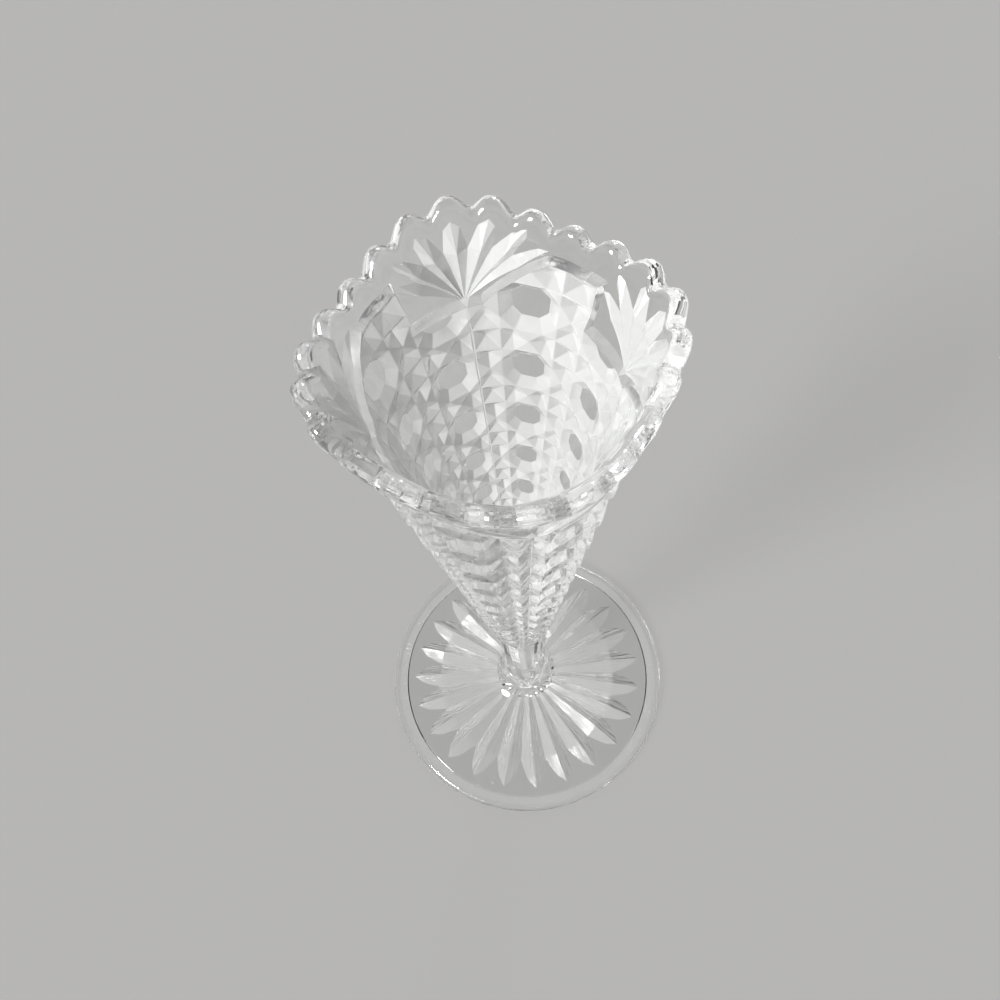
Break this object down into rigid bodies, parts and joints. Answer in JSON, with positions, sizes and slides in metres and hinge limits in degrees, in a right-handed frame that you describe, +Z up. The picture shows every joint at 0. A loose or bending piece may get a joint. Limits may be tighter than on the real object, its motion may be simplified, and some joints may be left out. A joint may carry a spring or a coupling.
{
  "type": "bud vase",
  "caption": "Pressed clear glass bud vase: a scalloped trumpet bowl with a button and diamond lattice under four fans, on a short panelled stem and a round foot with moulded petals.",
  "frame": {"origin": "centre of the foot, on the surface that the vase stands on", "axes": "+Z up along the vase's axis; +X, +Y, -X and -Y each run through the middle of a fan"},
  "size_m": [0.076, 0.076, 0.1626],
  "materials": {
    "clear_glass": "clear, fire polished"
  },
  "bodies": {
    "root": {"foot": "clear_glass", "stem": "clear_glass", "trumpet_bowl": "clear_glass"}
  },
  "joints": []
}
